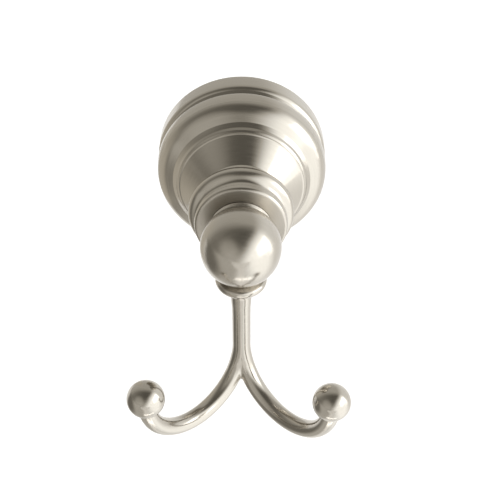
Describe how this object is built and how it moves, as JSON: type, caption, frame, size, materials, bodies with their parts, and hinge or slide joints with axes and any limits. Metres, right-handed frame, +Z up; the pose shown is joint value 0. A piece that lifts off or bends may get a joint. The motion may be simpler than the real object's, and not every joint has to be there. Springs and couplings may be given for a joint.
{
  "type": "robe hook",
  "caption": "Wall robe hook: stepped round flange, ball post and a forked stem whose curved arms end in balls.",
  "frame": {"origin": "centre of the flange's back, in the wall plane", "axes": "+Y into the wall, +Z up, +X to the right for a person who faces the wall"},
  "size_m": [0.0766, 0.1017, 0.1017],
  "materials": {
    "flange_nickel": "satin nickel, brushed round the turned outline",
    "ball_nickel": "satin nickel, brushed round the ball",
    "hook_nickel": "satin nickel, brushed, smoother on the rods",
    "bracket_zinc": "die-cast zinc, left as cast",
    "grub_steel": "plain steel",
    "screw_steel": "zinc-plated steel",
    "washer_steel": "zinc-plated spring steel"
  },
  "bodies": {
    "root": {"wall_flange": "flange_nickel", "ball_post": "ball_nickel", "double_hook": "hook_nickel", "mounting_bracket": "bracket_zinc", "set_screw": "grub_steel", "post_screw": "screw_steel", "lock_washer": "washer_steel"}
  },
  "joints": []
}
